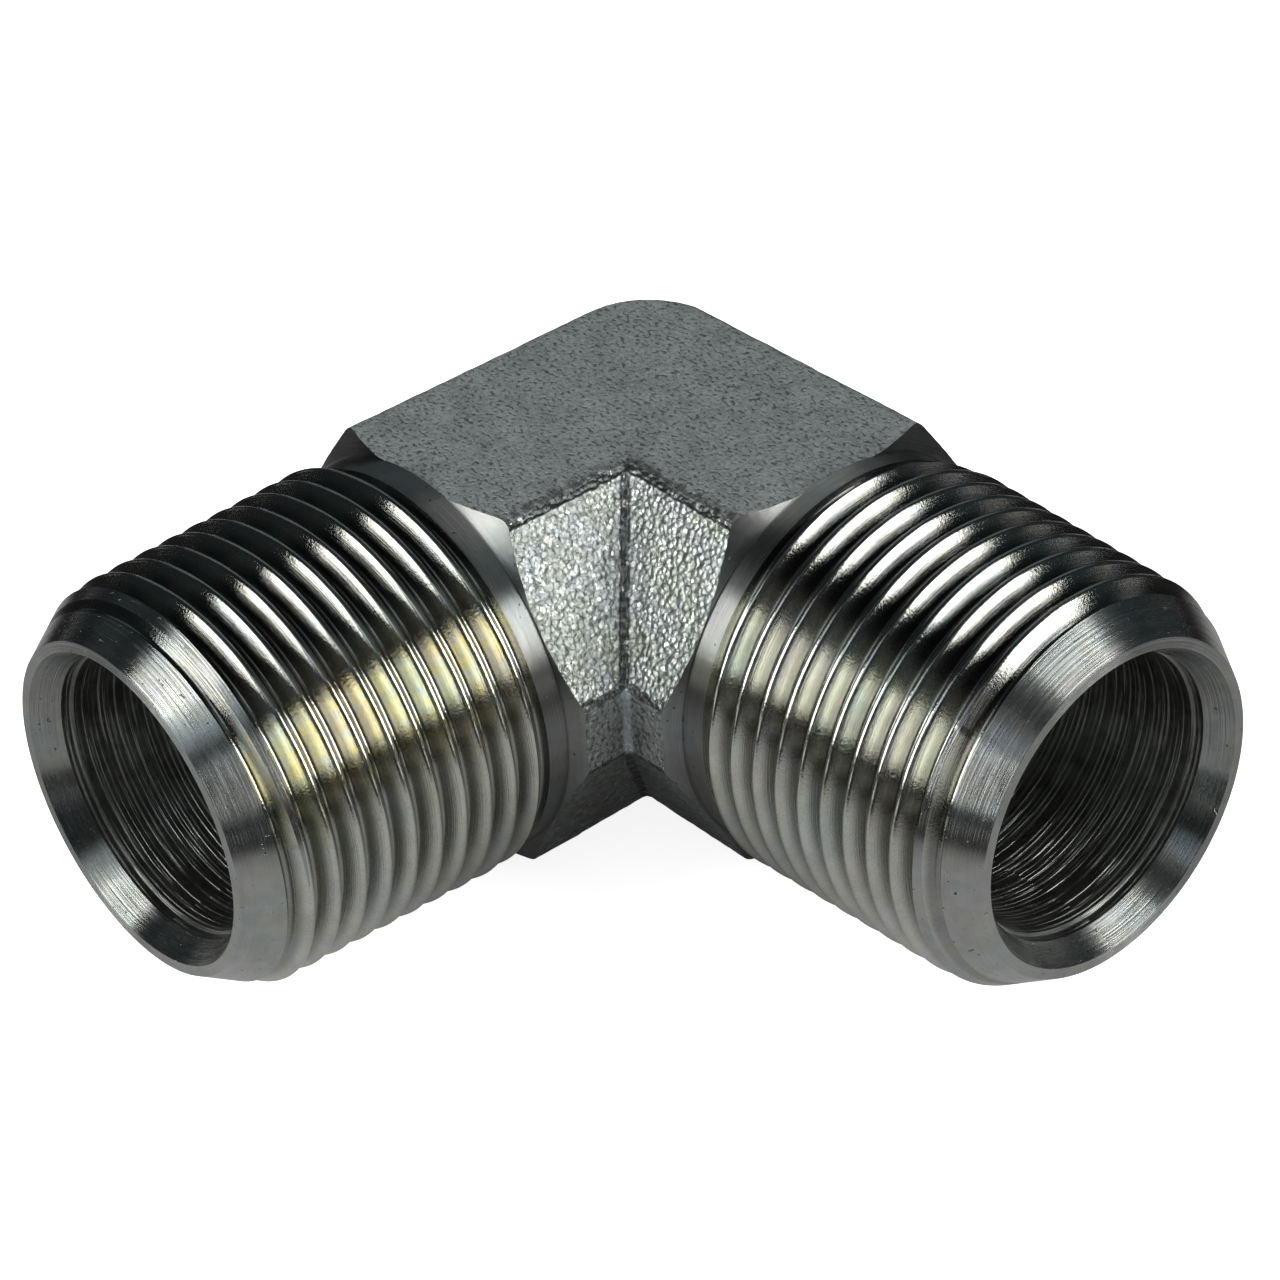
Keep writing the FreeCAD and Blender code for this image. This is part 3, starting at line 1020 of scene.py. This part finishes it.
def soft_box(name, radiance, place, size):
    """A soft lamp of a given radiance."""
    lamp = bpy.data.lights.new(name, "AREA")
    lamp.shape = "RECTANGLE"
    lamp.size, lamp.size_y = size
    lamp.energy = radiance * math.pi * size[0] * size[1]
    item = bpy.data.objects.new(name, lamp)
    item.matrix_world = place
    bpy.context.scene.collection.objects.link(item)


def glow_material(name, grey):
    """A card's plain, slightly cool glow, and the shader that gives it."""
    material = bpy.data.materials.new(name)
    material.use_nodes = True
    tree = material.node_tree
    tree.nodes.clear()
    glow = add(tree, "Emission", {"Color": (*(part * grey for part in CARD_TINT), 1.0)})
    add(tree, "OutputMaterial", {"Surface": glow.outputs[0]})
    return material, glow


def studio_card(name, place, size, material):
    """A flat card that only reflections see, as the black flags round a shiny part."""
    deselect_all()
    bpy.ops.mesh.primitive_plane_add(size=1.0)
    item = bpy.context.object
    item.name = name
    item.data.transform(place @ Matrix.Diagonal((*size, 1.0, 1.0)))
    item.data.materials.append(material)
    item.visible_camera = False
    item.visible_shadow = False
    item.visible_diffuse = False


def table_material():
    """The table as the part's underside reflects it: a painted shadow dark close to the part, grey further
    out.
    """
    material, glow = glow_material("table_glow", 1.0)
    tree = material.node_tree
    _, x, y, _ = object_place(tree)
    reach = calc(tree, "SQRT", calc(tree, "MULTIPLY_ADD", x, x, times(tree, y, y)))
    # Painted shadow of the part on the table, fading out far away.
    shade = times(tree, fade(tree, reach, *TABLE_PAINTED_SHADOW), fade(tree, reach, *TABLE_FAR))
    side = calc(tree, "ARCTAN2", y, x)
    right = fade(tree, calc(tree, "ABSOLUTE", side), *GLARE_WIDTH)
    left = fade(tree, calc(tree, "ABSOLUTE", calc(tree, "ADD", side, LEFT_GLARE)), *GLARE_WIDTH)
    glare = times(tree, calc(tree, "MAXIMUM", right, left), fade(tree, reach, *TABLE_GLARE))
    tree.links.new(calc(tree, "MAXIMUM", shade, glare), glow.inputs["Color"])
    return material


def backdrop_rays(tree):
    """One for camera, glossy and transmission rays, nought for the rays that light the part."""
    rays = add(tree, "LightPath").outputs
    seen = calc(tree, "MAXIMUM", rays["Is Camera Ray"], rays["Is Glossy Ray"])
    return calc(tree, "MAXIMUM", seen, rays["Is Transmission Ray"])


def white_floor():
    """The pale floor, which keeps the part's shadow."""
    deselect_all()
    bpy.ops.mesh.primitive_circle_add(
        vertices=FLOOR_SIDES, radius=FLOOR_RADIUS, fill_type="NGON", location=(0, 0, CAD_LOW.z))
    floor = bpy.context.object
    floor.name = "floor"
    apply_place(floor)
    material = bpy.data.materials.new("floor_white")
    material.use_nodes = True
    tree = material.node_tree
    shader = tree.nodes["Principled BSDF"]
    shader.inputs["Base Color"].default_value = (FLOOR_GREY, FLOOR_GREY, FLOOR_GREY, 1)
    shader.inputs["Roughness"].default_value = 0.9
    shader.inputs["Emission Color"].default_value = (1, 1, 1, 1)
    tree.links.new(times(tree, backdrop_rays(tree), FLOOR_LIFT), shader.inputs["Emission Strength"])
    floor.data.materials.append(material)


def white_world(scene):
    """A white backdrop, and a weaker even light from it on the part."""
    world = bpy.data.worlds.new("studio_white")
    world.use_nodes = True
    tree = world.node_tree
    background = tree.nodes["Background"]
    background.inputs["Color"].default_value = (1, 1, 1, 1)
    tree.links.new(choose(tree, backdrop_rays(tree), WORLD_LIGHT, 1.0), background.inputs["Strength"])
    scene.world = world


def add_camera(scene):
    """The camera at the photograph's angle."""
    yaw, pitch, roll = (math.radians(angle) for angle in CAMERA_TURNS)
    ahead = Vector((-math.sin(yaw) * math.cos(pitch), math.cos(yaw) * math.cos(pitch), math.sin(pitch)))
    level = Vector((math.cos(yaw), math.sin(yaw), 0))
    upright = level.cross(ahead)
    right = level * math.cos(roll) + upright * math.sin(roll)
    up = right.cross(ahead)
    data = bpy.data.cameras.new("camera")
    data.sensor_width = CAMERA_SENSOR
    data.lens = CAMERA_LENS
    data.clip_start = 0.01
    data.clip_end = 20.0
    camera = bpy.data.objects.new("camera", data)
    turn = Matrix((right, up, -ahead)).transposed().to_4x4()
    x, y, z = CAMERA_PLACE
    camera.matrix_world = Matrix.Translation((x, y, AXIS_HEIGHT + z)) @ turn
    scene.collection.objects.link(camera)
    scene.camera = camera


class ELBOW_OT_studio(bpy.types.Operator):
    """Add the floor, the lamps, the flags and the camera"""

    bl_idname = "elbow.studio"
    bl_label = "Studio"

    def execute(self, context):
        white_floor()
        white_world(context.scene)
        target = Vector((*STUDIO_MIDDLE, AXIS_HEIGHT))
        for name, radiance, *directions in LAMPS:
            soft_box(name, radiance, *window(*directions, target))
        for name, grey, *directions in FLAGS:
            studio_card(name, *window(*directions, target), glow_material(name, grey)[0])
        ceiling = Matrix.Translation((0, 0, CEILING_HEIGHT))
        studio_card("ceiling_flag", ceiling, WIDE_CARD, glow_material("ceiling_flag", CEILING_GREY)[0])
        table = Matrix.Translation((0, 0, CAD_LOW.z + TABLE_GAP))
        studio_card("table_card", table, WIDE_CARD, table_material())
        add_camera(context.scene)
        return {"FINISHED"}


# Sidebar and registration

class ELBOW_PT_sidebar(bpy.types.Panel):
    """Lists the steps that build the elbow"""

    bl_idname = "ELBOW_PT_sidebar"
    bl_label = "Elbow adapter"
    bl_space_type = "VIEW_3D"
    bl_region_type = "UI"
    bl_category = "Elbow"

    def draw(self, context):
        for step in STEPS:
            self.layout.operator(step.bl_idname)


STEPS = (ELBOW_OT_forged_body, ELBOW_OT_pipe_ends, ELBOW_OT_studio)
CLASSES = (ElbowSizes, ElbowFinish, *STEPS, ELBOW_PT_sidebar)


def register():
    """Add the classes, and the sizes and colours that a scene keeps."""
    for item in CLASSES:
        bpy.utils.register_class(item)
    bpy.types.Scene.elbow_sizes = bpy.props.PointerProperty(type=ElbowSizes)
    bpy.types.Scene.elbow_finish = bpy.props.PointerProperty(type=ElbowFinish)


def unregister():
    """Take out what register added, in the other order."""
    del bpy.types.Scene.elbow_finish
    del bpy.types.Scene.elbow_sizes
    for item in reversed(CLASSES):
        bpy.utils.unregister_class(item)


def main():
    """Build the elbow and its studio."""
    register()
    bpy.context.scene.view_settings.view_transform = "Standard"
    bpy.ops.elbow.forged_body()
    bpy.ops.elbow.pipe_ends()
    bpy.ops.elbow.studio()


if __name__ == "__main__":
    main()
